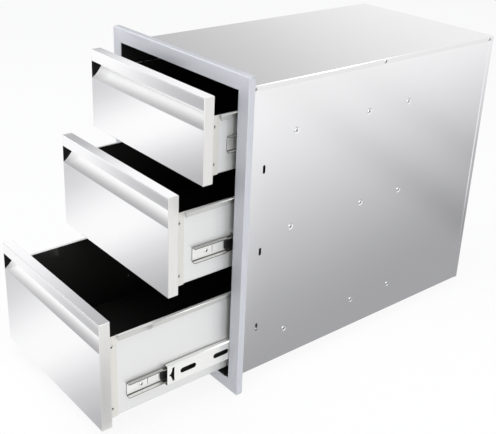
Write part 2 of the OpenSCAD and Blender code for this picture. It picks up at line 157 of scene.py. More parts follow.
def add_world():
    world = bpy.data.worlds.new("studio")
    bpy.context.scene.world = world
    world.use_nodes = True
    tree = world.node_tree
    tree.nodes.clear()
    light = add_node(tree, "Background", Color=(0.95, 0.97, 1.0, 1), Strength=WORLD_LIGHT)
    white = add_node(tree, "Background", Color=(1, 1, 1, 1))
    mix = add_node(tree, "MixShader", seen_directly(tree), light.outputs[0], white.outputs[0])
    add_node(tree, "OutputWorld", Surface=mix.outputs[0])
    return world


print("world", add_world().name, "with light", WORLD_LIGHT)

# %% [markdown]
# Every sheet part is made here the way a metal shop makes it: a flat blank is cut, holes are punched
# and edges are folded. Boxes and booleans could give the same outlines, but folding keeps each bend
# round and each face clean. A slot is punched with a circle whose halves are pulled apart.

# %% Sheet metal tools
ROUND_STEPS = 20
UP_TO_SIDE = Matrix.Rotation(math.pi / 2, 4, "Y")


def draw_loop(bm, corners):
    """A closed loop of edges through the corners."""
    verts = [bm.verts.new(c) for c in corners]
    for a, b in zip(verts, verts[1:] + verts[:1]):
        bm.edges.new((a, b))


def cut_blank(corners):
    """A new sheet's outline, before anything is punched."""
    bm = bmesh.new()
    draw_loop(bm, corners)
    return bm


def upright_sheet(x0, x1, y, z0, z1):
    return [(x0, y, z0), (x1, y, z0), (x1, y, z1), (x0, y, z1)]


def punch(bm, centre, radius, pull=None, steps=ROUND_STEPS):
    """A round hole that faces sideways, or a slot if its halves are pulled apart."""
    place = Matrix.Translation(centre) @ UP_TO_SIDE @ Matrix.Rotation(math.pi / steps, 4, "Z")
    ring = bmesh.ops.create_circle(bm, segments=steps, radius=radius, matrix=place)["verts"]
    if pull:
        for v in ring:
            v.co += pull if (v.co - centre).dot(pull) > 0 else -pull
    return ring


def press_flat(bm, outward):
    """Fills the blank round its holes, with its face turned outward."""
    bmesh.ops.triangle_fill(bm, edges=bm.edges[:], use_beauty=True)
    bm.normal_update()
    wrong = [f for f in bm.faces if f.normal.dot(outward) < 0]
    bmesh.ops.reverse_faces(bm, faces=wrong)


def edges_where(bm, test):
    return [e for e in bm.edges if all(test(v.co) for v in e.verts)]


def draw_line(bm, *points):
    """A chain of edges through the points, from which a sheet can be folded."""
    verts = [bm.verts.new(p) for p in points]
    return [bm.edges.new(pair) for pair in zip(verts, verts[1:])]


def fold(bm, edges, by):
    """Folds a flange out of the edges, and returns the flange's own free edges."""
    grown = bmesh.ops.extrude_edge_only(bm, edges=edges)["geom"]
    verts = [g for g in grown if isinstance(g, bmesh.types.BMVert)]
    bmesh.ops.translate(bm, verts=verts, vec=by)
    return [g for g in grown if isinstance(g, bmesh.types.BMEdge) and all(v in verts for v in g.verts)]


def roll(bm, edges, centre, angle, steps=5, axis=(0, 1, 0)):
    """Rolls a sheet's edges round a centre line, and returns the edges it ends in."""
    swept = bmesh.ops.spin(bm, geom=edges, cent=centre, axis=axis, dvec=(0, 0, 0), angle=angle,
                           steps=steps, use_duplicate=False)["geom_last"]
    return [g for g in swept if isinstance(g, bmesh.types.BMEdge)]


print("round holes in", ROUND_STEPS, "steps")

# %% [markdown]
# The folds then get their radius with a bevel, and last the sheet gets its thickness. A Solidify
# modifier adds it behind the drawn side, because it also gives the back and the rim their own slots.

# %% Bends and finished pieces
SHEET = 1.0 * MM
BEND_R = 1.2 * MM
FLAT = 0.9999
SNAP = 0.05 * MM


def soften(bm, edges, radius, steps):
    """Rounds edges to a radius."""
    bmesh.ops.bevel(bm, geom=edges, offset=radius, offset_type="OFFSET", affect="EDGES",
                    segments=steps, profile=0.5, material=-1, clamp_overlap=True)


def sharper_than(degrees, edges):
    return [e for e in edges if len(e.link_faces) == 2 and e.calc_face_angle() > math.radians(degrees)]


def round_folds(bm, radius, steps, test=lambda e: True):
    bm.normal_update()
    soften(bm, [e for e in sharper_than(25, bm.edges) if test(e)], radius, steps)


def near(value, target):
    return abs(value - target) < SNAP


def weld(bm, within=0.001 * MM):
    bmesh.ops.remove_doubles(bm, verts=bm.verts[:], dist=within)


def block(bm, centre, size):
    """A box about its centre, returned as its vertices."""
    place = Matrix.Translation(centre) @ Matrix.Diagonal((*size, 1))
    return bmesh.ops.create_cube(bm, size=1.0, matrix=place)["verts"]


def edges_of(verts):
    return {e for v in verts for e in v.link_edges}


def orient(bm, toward):
    """Turns all faces the same way round, so that most of them look toward the given side."""
    bmesh.ops.recalc_face_normals(bm, faces=bm.faces[:])
    if sum(f.calc_area() * f.normal.dot(Vector(toward)) for f in bm.faces) < 0:
        bmesh.ops.reverse_faces(bm, faces=bm.faces[:])


def add_object(bm, name, materials):
    mesh = bpy.data.meshes.new(name)
    bm.to_mesh(mesh)
    bm.free()
    for material in materials:
        mesh.materials.append(material)
    made = bpy.data.objects.new(name, mesh)
    bpy.context.collection.objects.link(made)
    return made


def finish_piece(bm, name, body, finishes, stands_for=(), thickness=0.0, back=0, rim=0, smooth=35):
    """Turns a bmesh into a piece that rides on a body, thickened behind its faces if it is a sheet.

    The sheet's back and rim take the finishes that stand so many slots after its front's."""
    piece = add_object(bm, name, [FINISHES[finish] for finish in finishes])
    if thickness:
        wall = piece.modifiers.new("sheet", "SOLIDIFY")
        wall.thickness = thickness
        wall.offset = -1
        wall.use_even_offset = True
        wall.material_offset = back
        wall.material_offset_rim = rim
    piece.data.set_sharp_from_angle(angle=math.radians(smooth))
    for face in piece.data.polygons:
        face.use_smooth = max(abs(c) for c in face.normal) < FLAT
    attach(piece, body)
    if stands_for:
        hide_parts(*stands_for)
    return piece


def finish_sheet(bm, name, body, finishes, node, outward, bend=BEND_R, steps=3, back=1, rim=0):
    """Rounds the bends of a folded sheet, drawn on its outward side, and puts it in a node's place."""
    orient(bm, outward)
    round_folds(bm, bend, steps)
    finish_piece(bm, name, body, finishes, [node], thickness=SHEET, back=back, rim=rim)


print("sheet thickness and bends", in_mm(SHEET, BEND_R), "mm")

# %% [markdown]
# Two effects are shared by the finishes, so each is a node group. Brushing draws fine streaks along
# one direction by stretching a noise. Mottle lets the roughness drift a little over a large area,
# as handling and rolling leave it. A change in a group then reaches every finish at once.

# %% Node groups
STREAK_ROUGHNESS = 0.6
SOCKETS = {"Vector": "NodeSocketVector", "Colour": "NodeSocketColor"}


def new_group(name, inputs, outputs):
    """A node group whose sockets hold one number each, apart from the vector's and the colour's."""
    group = bpy.data.node_groups.new(name, "ShaderNodeTree")
    for way, names in (("INPUT", inputs), ("OUTPUT", outputs)):
        for socket in names:
            kind = SOCKETS.get(socket, "NodeSocketFloat")
            group.interface.new_socket(socket, in_out=way, socket_type=kind)
    return group, group.nodes.new("NodeGroupInput").outputs, group.nodes.new("NodeGroupOutput")


def noise(tree, vector, scale, detail, roughness):
    """A noise, and the same noise spread from -1 to 1."""
    made = add_node(tree, "TexNoise", Vector=vector, Scale=scale, Detail=detail, Roughness=roughness)
    fac = made.outputs["Fac"]
    return fac, add_node(tree, "MapRange", Value=fac, To_Min=-1.0, To_Max=1.0).outputs["Result"]


def brushing_group():
    group, given, result = new_group(
        "brushing", ("Vector", "Amount", "Colour", "Roughness"), ("Colour", "Roughness"))
    spread = noise(group, given["Vector"], 1.0, 6.0, 0.7)[1]
    amount = math_node(group, "MULTIPLY", spread, given["Amount"])
    tint = add_node(group, "VectorMath", given["Colour"], operation="SCALE",
                    Scale=math_node(group, "ADD", amount, 1.0))
    rough = math_node(group, "MULTIPLY_ADD", amount, STREAK_ROUGHNESS, given["Roughness"])
    set_inputs(group, result, Colour=tint.outputs[0], Roughness=rough)
    return group


def mottle_group():
    group, given, result = new_group(
        "mottle", ("Vector", "Scale", "Amount", "Roughness"), ("Roughness", "Mask"))
    mask, spread = noise(group, given["Vector"], given["Scale"], 4.0, 0.55)
    rough = math_node(group, "MULTIPLY_ADD", spread, given["Amount"], given["Roughness"])
    set_inputs(group, result, Roughness=rough, Mask=mask)
    return group


BRUSHING = brushing_group()
MOTTLE = mottle_group()
print("node groups", [g.name for g in (BRUSHING, MOTTLE)])

# %% [markdown]
# A finish starts from one plain steel: the two groups feed a Principled shader. The brushing runs
# along an axis of the object, and the Mapping node squeezes the other two axes to draw the streaks.
# A photographed texture would need unwrapped sheets and would repeat, and noise needs neither.
# The black insides and the plastic are plain dark finishes with a fine grain.

# %% Steel finishes
STREAK_SCALE = 900.0
STREAK_LENGTH = 60
DRIFT_SCALE = 7.0
DRIFT_AMOUNT = 0.03


def new_material(name):
    material = bpy.data.materials.new(name)
    material.use_nodes = True
    return material, material.node_tree, material.node_tree.nodes["Principled BSDF"]


def group_node(tree, group, **inputs):
    node = tree.nodes.new("ShaderNodeGroup")
    node.node_tree = group
    return set_inputs(tree, node, **inputs).outputs


def steel(name, colour, roughness, along, streaks, metallic):
    """A sheet steel finish with its streaks along one axis of the object."""
    material, tree, shader = new_material(name)
    where = add_node(tree, "TexCoord").outputs["Object"]
    stretch = add_node(tree, "Mapping", Vector=where, Scale=[
        STREAK_SCALE / STREAK_LENGTH if axis == along else STREAK_SCALE for axis in "XYZ"])
    drift = group_node(tree, MOTTLE, Vector=where, Scale=DRIFT_SCALE, Amount=DRIFT_AMOUNT,
                       Roughness=roughness)
    brush = group_node(tree, BRUSHING, Vector=stretch.outputs[0], Amount=streaks, Colour=(*colour, 1),
                       Roughness=drift["Roughness"])
    set_inputs(tree, shader, Metallic=metallic, Base_Color=brush["Colour"], Roughness=brush["Roughness"])
    return material


# Colour, roughness, the axis that the streaks follow, their strength, and how metallic it is.
STEELS = {
    "frame_steel": ((0.60, 0.61, 0.65), 0.42, "X", 0.12, 0.4),
    "frame_steel_upright": ((0.58, 0.59, 0.63), 0.50, "Z", 0.12, 0.15),
    "front_steel": ((0.95, 0.95, 0.96), 0.22, "X", 0.03, 1.0),
    "pull_steel": ((0.97, 0.97, 0.97), 0.20, "X", 0.03, 1.0),
    # hollow_steel is the front's steel a little darker: painted shade inside the pull's hollow.
    "hollow_steel": ((0.90, 0.90, 0.90), 0.30, "X", 0.03, 1.0),
    # end_steel is the front's steel made darker and duller: painted shade on the ends of the fronts.
    "end_steel": ((0.77, 0.76, 0.74), 0.40, "Z", 0.08, 0.6),
    "box_steel": ((0.93, 0.93, 0.94), 0.20, "Y", 0.02, 1.0),
    "lid_steel": ((0.88, 0.88, 0.88), 0.22, "Y", 0.03, 1.0),
    "tray_steel": ((0.76, 0.76, 0.75), 0.30, "Y", 0.03, 0.35),
    # rim_steel is the tray's steel made darker: painted shade on and under the rim.
    "rim_steel": ((0.60, 0.60, 0.58), 0.34, "Y", 0.06, 0.8),
    "backing_steel": ((0.73, 0.715, 0.67), 0.36, "Z", 0.04, 0.6),
    "slide_zinc": ((0.86, 0.86, 0.84), 0.30, "Y", 0.06, 0.6),
    "zinc_shade": ((0.50, 0.50, 0.48), 0.34, "Y", 0.06, 0.6),
    # ball_track is near black and paints shade: slide bends and sheet edges, and the recesses of the
    # heads.
    "ball_track": ((0.10, 0.10, 0.09), 0.40, "Y", 0.10, 0.6),
    "fastener_steel": ((0.74, 0.75, 0.76), 0.22, "X", 0.05, 1.0),
    "ball_steel": ((0.66, 0.67, 0.69), 0.08, "X", 0.01, 1.0),
}

GRAIN_SCALE = 1500.0
GRAIN_AMOUNT = 0.08
GRAIN_STRENGTH = 0.15
GRAIN_HEIGHT = 0.1 * MM
DARK_SPECULAR = 0.3


def dark(name, colour, roughness):
    """A dark finish or plastic with a fine grain."""
    material, tree, shader = new_material(name)
    where = add_node(tree, "TexCoord").outputs["Object"]
    drift = group_node(tree, MOTTLE, Vector=where, Scale=GRAIN_SCALE, Amount=GRAIN_AMOUNT,
                       Roughness=roughness)
    bump = add_node(tree, "Bump", Strength=GRAIN_STRENGTH, Distance=GRAIN_HEIGHT, Height=drift["Mask"])
    set_inputs(tree, shader, Base_Color=(*colour, 1), Specular_IOR_Level=DARK_SPECULAR,
               Roughness=drift["Roughness"], Normal=bump.outputs[0])
    return material


FINISHES = {name: steel(name, *looks) for name, looks in STEELS.items()}
for name, *looks in (("inside_black", (0.014, 0.014, 0.013), 0.5),
                     # hollow_black is painted shade: the black sheets at the ends of the finger pulls.
                     ("hollow_black", (0.003, 0.003, 0.003), 0.9),
                     ("lever_plastic", (0.006, 0.006, 0.007), 0.42)):
    FINISHES[name] = dark(name, *looks)


def dress_cad_nodes():
    """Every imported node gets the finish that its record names."""
    for part in frame["record"]["subparts"]:
        node = frame["nodes"][part["node"]]
        node.data.materials.clear()
        node.data.materials.append(FINISHES[part["material_slot"]])
    return len(frame["record"]["subparts"])


print("finishes", len(FINISHES), "on", dress_cad_nodes(), "packed nodes")

# %% [markdown]
# Each drawer front is one folded sheet. Its section starts at the lower edge, goes up the face to the
# crease, sweeps back in an arc that the fingers slide up, and turns forward again into the flat band.
# The scoop could be cut out of a block, but a spun edge gives a clean arc and even faces. The end
# walls are thin plates that close the section, so they are separate boxes with rounded edges.

# %% Drawer fronts
PULL_BAND = 19 * MM
PULL_MOUTH = 29 * MM
PULL_R = 55 * MM
PULL_DEPTH = 17 * MM
PULL_HEM = 9 * MM
FRONT_EDGE_R = 0.8 * MM
LEANS = 0.1
SHADE_SHEET_GAP = 0.1 * MM
SHADE_SHEET_T = 0.05 * MM
PULL, SHADED_END, SHADED_HOLLOW = 1, 2, 3


def front_box(number):
    """A front's box, and the height of the crease between its face and its pull."""
    low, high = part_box(f"drawer_{number}_front")
    return low, high, high.z - PULL_BAND - PULL_MOUTH


def sweep_scoop(bm, edges, crease_y, crease_z):
    """Sweeps the crease up and back along an arc, to the wall behind the band."""
    rise = Vector((0, PULL_DEPTH, PULL_DEPTH))
    half_angle = math.asin(rise.length / 2 / PULL_R)
    middle = Vector((0, crease_y, crease_z)) + rise / 2
    centre = middle + Vector((0, -1, 1)).normalized() * PULL_R * math.cos(half_angle)
    return roll(bm, edges, centre, 2 * half_angle, steps=14, axis=(1, 0, 0))


def end_plate(bm, low, high, inner_x, outer_x):
    """A plate that closes a front's section, with its outer edges rounded."""
    middle, size = (low + high) / 2, high - low
    middle.x, size.x = (inner_x + outer_x) / 2, SHEET
    made = block(bm, middle, size)
    bm.normal_update()
    for face in {f for v in made for f in v.link_faces}:
        looks_in = face.normal.x * outer_x < -0.5 * abs(outer_x)
        # The outer faces take end_steel, a darker copy of the front's steel: painted shade.
        face.material_index = PULL if looks_in else SHADED_END
    outer = [e for e in edges_of(made) if any(near(v.co.x, outer_x) for v in e.verts)]
    soften(bm, outer, FRONT_EDGE_R, 3)


def drawer_front(number):
    low, high, crease_z = front_box(number)
    inner_x = high.x - SHEET
    bm = bmesh.new()
    edges = draw_line(bm, (-inner_x, low.y, low.z), (inner_x, low.y, low.z))
    edges = fold(bm, edges, (0, 0, crease_z - low.z))
    edges = sweep_scoop(bm, edges, low.y, crease_z)
    for y, z in ((0, high.z - SHEET - crease_z - PULL_DEPTH), (SHEET - PULL_DEPTH, 0),
                 (0, SHEET + PULL_HEM - PULL_BAND), (SHEET, 0), (0, -PULL_HEM), (-2 * SHEET, 0),
                 (0, PULL_BAND), (high.y - low.y, 0), (0, low.z - high.z), (low.y - high.y, 0)):
        edges = fold(bm, edges, (0, y, z))
    weld(bm, 0.01 * MM)
    bmesh.ops.holes_fill(bm, edges=[e for e in bm.edges if e.is_boundary], sides=0)
    bmesh.ops.recalc_face_normals(bm, faces=bm.faces[:])

    def outer_corner(e):
        along_x = abs(e.verts[0].co.x - e.verts[1].co.x) > inner_x
        return along_x and any(all(near(v.co.z, z) for v in e.verts) for z in (low.z, high.z))

    # Faces in the hollow under the band take hollow_steel, a little darker than the front: painted shade.
    for face in bm.faces:
        at = face.calc_center_median()
        inside = low.y + SHEET / 2 < at.y < high.y - SHEET
        if face.normal.y < -LEANS and face.normal.z > LEANS:
            face.material_index = PULL
        elif inside and crease_z + SHEET < at.z < high.z - SHEET / 2:
            face.material_index = SHADED_HOLLOW
    round_folds(bm, FRONT_EDGE_R, 3, outer_corner)
    end_plate(bm, low, high, inner_x, high.x)
    end_plate(bm, low, high, -inner_x, low.x)
    finish_piece(bm, f"front_{number}", f"drawer_{number}",
                 ["front_steel", "pull_steel", "end_steel", "hollow_steel"], [f"drawer_{number}_front"])
    return high - low


def pull_shade_sheet(number, side):
    """Painted shade at the end of a finger pull: a thin black sheet against the end wall, hidden from
    reflections.
    """
    low, high, crease_z = front_box(number)
    x = SIDES[side] * (high.x - SHEET - SHADE_SHEET_GAP)
    face_y, band_y, band_z = low.y + SHADE_SHEET_GAP, low.y + 2 * SHEET, high.z - PULL_BAND
    bm = bmesh.new()
    foot = bm.verts.new((x, face_y, crease_z))
    sweep_scoop(bm, [foot], face_y, crease_z)
    bm.verts.ensure_lookup_table()
    way = [bm.verts[-1]] + [bm.verts.new((x, y, z)) for y, z in (
        (low.y + PULL_DEPTH, high.z - SHEET), (band_y, high.z - SHEET), (band_y, band_z),
        (face_y, band_z))] + [foot]
    for pair in zip(way, way[1:]):
        bm.edges.new(pair)
    bmesh.ops.contextual_create(bm, geom=bm.edges[:])
    orient(bm, (-SIDES[side], 0, 0))
    shade_sheet = finish_piece(bm, f"pull_shade_sheet_{number}_{side}", f"drawer_{number}", ["hollow_black"],
                         thickness=SHADE_SHEET_T)
    shade_sheet.visible_glossy = False


for number in DRAWERS:
    print("front", number, in_mm(*drawer_front(number)), "mm")
    for side in SIDES:
        pull_shade_sheet(number, side)

# %% [markdown]
# A tray is folded from one sheet: floor, sides, and a rim that turns outward and down. The sheet is drawn
# on its inner side, which is black, and thickened behind. The rim's faces are bright on both sides, so the
# slots run bright, black, bright: a back takes the slot two after its front's. The rim's lip and the
# underside of its top take the darker rim_steel, which is painted shade under the rim.

# %% Drawer trays
RIM_W = 5 * MM
RIM_H = 8 * MM
RIM_START = 15.5 * MM
TRAY_SLOTS = ["tray_steel", "inside_black", "rim_steel", "tray_steel"]
RIM_TOP, INNER, SHADED_RIM_LIP = range(3)


def drawer_tray(number):
    node = f"drawer_{number}_tray"
    low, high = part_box(node)
    side_x = high.x - RIM_W - SHEET
    floor_z, rim_y = low.z + SHEET, low.y + RIM_START
    bm = bmesh.new()
    left = draw_line(bm, *[(-side_x, y, floor_z) for y in (low.y, rim_y, high.y)])
    right = fold(bm, left, (2 * side_x, 0, 0))
    for edges, sign in ((left, -1), (right, 1)):
        top = fold(bm, edges, (0, 0, high.z - floor_z))
        behind = [e for e in top if all(v.co.y > rim_y - SHEET for v in e.verts)]
        lip = fold(bm, behind, (sign * (RIM_W + SHEET), 0, 0))
        fold(bm, lip, (0, 0, -RIM_H))
    # The lip takes rim_steel, darker than the tray: painted shade.
    for face in bm.faces:
        reach = abs(face.calc_center_median().x) - side_x
        face.material_index = SHADED_RIM_LIP if reach > RIM_W else RIM_TOP if reach > 0.1 * MM else INNER
    finish_sheet(bm, f"tray_{number}", f"drawer_{number}", TRAY_SLOTS, node, (0, 0, 1), back=2)


def tray_back(number):
    node = f"drawer_{number}_tray_back"
    low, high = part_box(node)
    wall_y, inner_x = high.y - SHEET, high.x - SHEET
    bm = bmesh.new()
    foot = draw_line(bm, (-inner_x, wall_y, low.z), (inner_x, wall_y, low.z))
    fold(bm, foot, (0, 0, high.z - low.z))
    for x in (-inner_x, inner_x):
        fold(bm, edges_where(bm, lambda co: near(co.x, x)), (0, low.y - wall_y, 0))
    finish_sheet(bm, f"tray_back_{number}", f"drawer_{number}", ["inside_black", "tray_steel"], node,
                 (0, -1, 0))


for number in DRAWERS:
    drawer_tray(number)
    tray_back(number)
print("tray rims", in_mm(RIM_W, RIM_H), "mm wide and high")

# %% [markdown]
# The backing is the plate behind a front. Its edges run back along the tray's sides, where two screws
# pass through each. It could be three boxes, but folded from one sheet it keeps its rounded bends.
# The upper edge stands a little above the tray, where nothing is folded back.

# %% Backings
BACKING_RISE = 9 * MM


def backing(number):
    node = f"drawer_{number}_backing"
    low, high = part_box(node)
    tray_top = high.z - BACKING_RISE
    bm = bmesh.new()
    left = draw_line(bm, *[(low.x, low.y, z) for z in (low.z, tray_top, high.z)])
    right = fold(bm, left, (high.x - low.x, 0, 0))
    for edges in (left, right):
        lower = [e for e in edges if all(v.co.z < tray_top + SHEET / 2 for v in e.verts)]
        fold(bm, lower, (0, high.y - low.y, 0))
    finish_sheet(bm, f"backing_{number}", f"drawer_{number}", ["backing_steel", "inside_black"], node,
                 (0, -1, 0))


for number in DRAWERS:
    backing(number)
print("backings stand", in_mm(BACKING_RISE), "mm above the trays")

# %% [markdown]
# The face frame starts as one plate. Insetting it leaves four borders with mitred corners, so each
# border can be brushed along its own length. Its outer edge is folded back all round, and the two
# upright edges of its opening a little. Those folds are black, because they lie in the box's shadow.

# %% Face frame
BORDER = 24 * MM
BORDER_BOTTOM = 20.5 * MM
OPENING_FOLD = 7 * MM
FRAME_CORNER_R = 3 * MM
FRAME_BEND_R = 1.5 * MM
LEVEL, UPRIGHT, FOLDED = range(3)


def face_frame():
    low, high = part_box("face_frame")
    bm = cut_blank(upright_sheet(low.x, high.x, low.y, low.z, high.z))
    plate = bmesh.ops.contextual_create(bm, geom=bm.edges[:])["faces"]
    bmesh.ops.inset_region(bm, faces=plate, thickness=BORDER, use_boundary=True, use_even_offset=True)
    bmesh.ops.delete(bm, geom=plate, context="FACES_ONLY")
    for v in bm.verts:
        if near(v.co.z, low.z + BORDER):
            v.co.z = low.z + BORDER_BOTTOM
    bm.normal_update()
    rim = edges_where(bm, lambda co: near(abs(co.x), high.x) or near(co.z, low.z) or near(co.z, high.z))
    fold(bm, rim, (0, high.y - low.y, 0))
    for x in (BORDER - high.x, high.x - BORDER):
        fold(bm, edges_where(bm, lambda co: near(co.x, x)), (0, OPENING_FOLD, 0))
    orient(bm, (0, -1, 0))
    for face in bm.faces:
        x = abs(face.calc_center_median().x)
        face.material_index = FOLDED if near(x, high.x - BORDER) else UPRIGHT if x > high.x / 2 else LEVEL

    def runs_back(e):
        return abs(e.verts[0].co.y - e.verts[1].co.y) > high.y - low.y - SHEET

    round_folds(bm, FRAME_CORNER_R, 6, runs_back)
    round_folds(bm, FRAME_BEND_R, 4, lambda e: not runs_back(e))
    finish_piece(bm, "face_frame_sheet", "cabinet", ["frame_steel", "frame_steel_upright", "inside_black"],
                 ["face_frame"], thickness=SHEET)
    return high - low


print("face frame", in_mm(*face_frame()), "mm")

# %% [markdown]
# The side panels carry the slides. Every rivet sits in a pressed dish, which keeps its head clear of
# the counter, and three upright slots behind the face frame take the screws that hold the unit in.
# A bump in the finish could suggest the dishes, but real ones keep their edge when seen from the side.

# %% Side panels
DISH_R = 5.5 * MM
DISH_FLOOR_R = 3.7 * MM
DISH_DEPTH = 0.65 * MM
DISH_STEPS = 28
RIVET_Y = (104.6 * MM, 264.6 * MM, 360.6 * MM)
FLANGE = 11 * MM
FLANGE_RELIEF = 10 * MM
FIXING_Y = 42.4 * MM
FIXING_Z = (80.5 * MM, 219.5 * MM, 358.5 * MM)
FIXING_LEN = 14 * MM
FIXING_W = 5 * MM
PANEL_BEND_R = 0.5 * MM


def slide_centre(number):
    low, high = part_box(f"cabinet_member_{number}_right")
    return (low.z + high.z) / 2


def press_dish(bm, ring, centre, inward):
    """Presses a dish into the sheet from the ring of a punched hole, and closes its floor."""
    inner = fold(bm, ring, inward * DISH_DEPTH)
    verts = {v for e in inner for v in e.verts}
    sunk = centre + inward * DISH_DEPTH
    bmesh.ops.scale(bm, verts=list(verts), vec=(1, DISH_FLOOR_R / DISH_R, DISH_FLOOR_R / DISH_R),
                    space=Matrix.Translation(-sunk))
    bmesh.ops.edgeloop_fill(bm, edges=inner)


def side_panel(side):
    node = f"side_panel_{side}"
    low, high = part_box(node)
    outward = Vector((SIDES[side], 0, 0))
    wall_x = SIDES[side] * (max(abs(low.x), abs(high.x)) - FLANGE)
    front_y = low.y + SHEET
    bm = cut_blank([(wall_x, y, z) for y, z in (
        (front_y, low.z), (high.y, low.z), (high.y, high.z), (front_y, high.z),
        (front_y, high.z - FLANGE_RELIEF), (front_y, low.z + FLANGE_RELIEF))])
    for z in FIXING_Z:
        punch(bm, Vector((wall_x, FIXING_Y, z)), FIXING_W / 2,
              Vector((0, 0, (FIXING_LEN - FIXING_W) / 2)), 24)
    centres = [Vector((wall_x, y, slide_centre(number))) for number in DRAWERS for y in RIVET_Y]
    rings = [set(punch(bm, centre, DISH_R, steps=DISH_STEPS)) for centre in centres]
    ring_edges = [[e for e in bm.edges if all(v in ring for v in e.verts)] for ring in rings]
    press_flat(bm, outward)
    for centre, ring in zip(centres, ring_edges):
        press_dish(bm, ring, centre, -outward)
    flange = [e for e in edges_where(bm, lambda co: near(co.y, front_y))
              if abs(e.verts[0].co.z - e.verts[1].co.z) > high.z / 2]
    fold(bm, flange, outward * FLANGE)
    finish_sheet(bm, f"side_{side}", "cabinet", ["box_steel", "inside_black"], node, outward,
                 bend=PANEL_BEND_R, rim=1)


for side in SIDES:
    side_panel(side)
print("side panels with", len(RIVET_Y) * len(DRAWERS), "dishes each")

# %% [markdown]
# The lid laps the side panels with its folded edges. The floor and the back close the box. Their
# inner sides are black like the panels', so the cabinet swallows the light that falls in. The lid
# and the floor are the same form turned over, so one function makes both.

# %% Lid, floor and back
PANEL_BEND_STEPS = 4


def level_panel(name, node, up, relief, finish):
    """A flat sheet whose sides fold inward, and whose front flange turns outward."""
    low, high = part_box(node)
    level, fold_z = (high.z - FLANGE, low.z) if up > 0 else (low.z + FLANGE, high.z)
    front_y, relief_x = low.y + SHEET, high.x - relief
    outward = Vector((0, 0, up))
    bm = cut_blank([(x, y, level) for x, y in (
        (low.x, front_y), (-relief_x, front_y), (relief_x, front_y), (high.x, front_y),
        (high.x, high.y), (low.x, high.y))])
    press_flat(bm, outward)
    for x in (low.x, high.x):
        fold(bm, edges_where(bm, lambda co: near(co.x, x)), (0, 0, fold_z - level))
    flange = edges_where(bm, lambda co: near(co.y, front_y) and abs(co.x) < relief_x + SHEET)
    fold(bm, flange, outward * FLANGE)
    finish_sheet(bm, name, "cabinet", [finish, "inside_black"], node, outward, steps=PANEL_BEND_STEPS)


def back_panel():
    low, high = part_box("back_panel")
    fold_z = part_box("lid")[0].z
    bm = bmesh.new()
    left = draw_line(bm, (low.x, high.y, low.z), (low.x, high.y, fold_z))
    right = fold(bm, left, (high.x - low.x, 0, 0))
    for edges in (left, right):
        fold(bm, edges, (0, low.y - high.y, 0))
    top = edges_where(bm, lambda co: near(co.z, fold_z) and near(co.y, high.y))
    fold(bm, top, (0, 0, high.z - fold_z))
    for v in bm.verts:
        if near(v.co.z, high.z):
            v.co.x *= (high.x - SHEET) / high.x
    finish_sheet(bm, "back_sheet", "cabinet", ["box_steel", "inside_black"], "back_panel", (0, 1, 0),
                 steps=PANEL_BEND_STEPS)
    return high - low


level_panel("lid_sheet", "lid", 1, SHEET + FLANGE_RELIEF, "lid_steel")
print("back", in_mm(*back_panel()), "mm")
level_panel("floor_sheet", "floor_panel", -1, FLANGE_RELIEF, "box_steel")

# %% [markdown]
# A ball-bearing slide has three channels of zinc-plated sheet that run in one another. Each is a long
# strip, punched flat, whose edges are then rolled over to hold the balls. A roll is a spin about the
# line that the roller turns on. The cabinet member is riveted to the side panel, and is the widest.

# %% Slide members
SLIDE_SHEET = 1.2 * MM
OUTER_ROLL_R = 2.2 * MM
INNER_ROLL_R = 1.4 * MM
NIB = 2.7 * MM
# ball_track is painted shade on the drawer members' bends, on their web inside the cabinet and on every
# sheet edge. zinc_shade is painted shade on the backs.
ZINC_SLOTS = ["slide_zinc", "ball_track", "zinc_shade", "ball_track"]
BRIGHT, PAINTED_SHADE = range(2)


def side_reach(node, side):
    """A slide piece's inner and outer x on its own side, and half its height."""
    low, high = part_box(node)
    inner, outer = sorted((abs(low.x), abs(high.x)))
    return SIDES[side] * inner, SIDES[side] * outer, (high.z - low.z) / 2


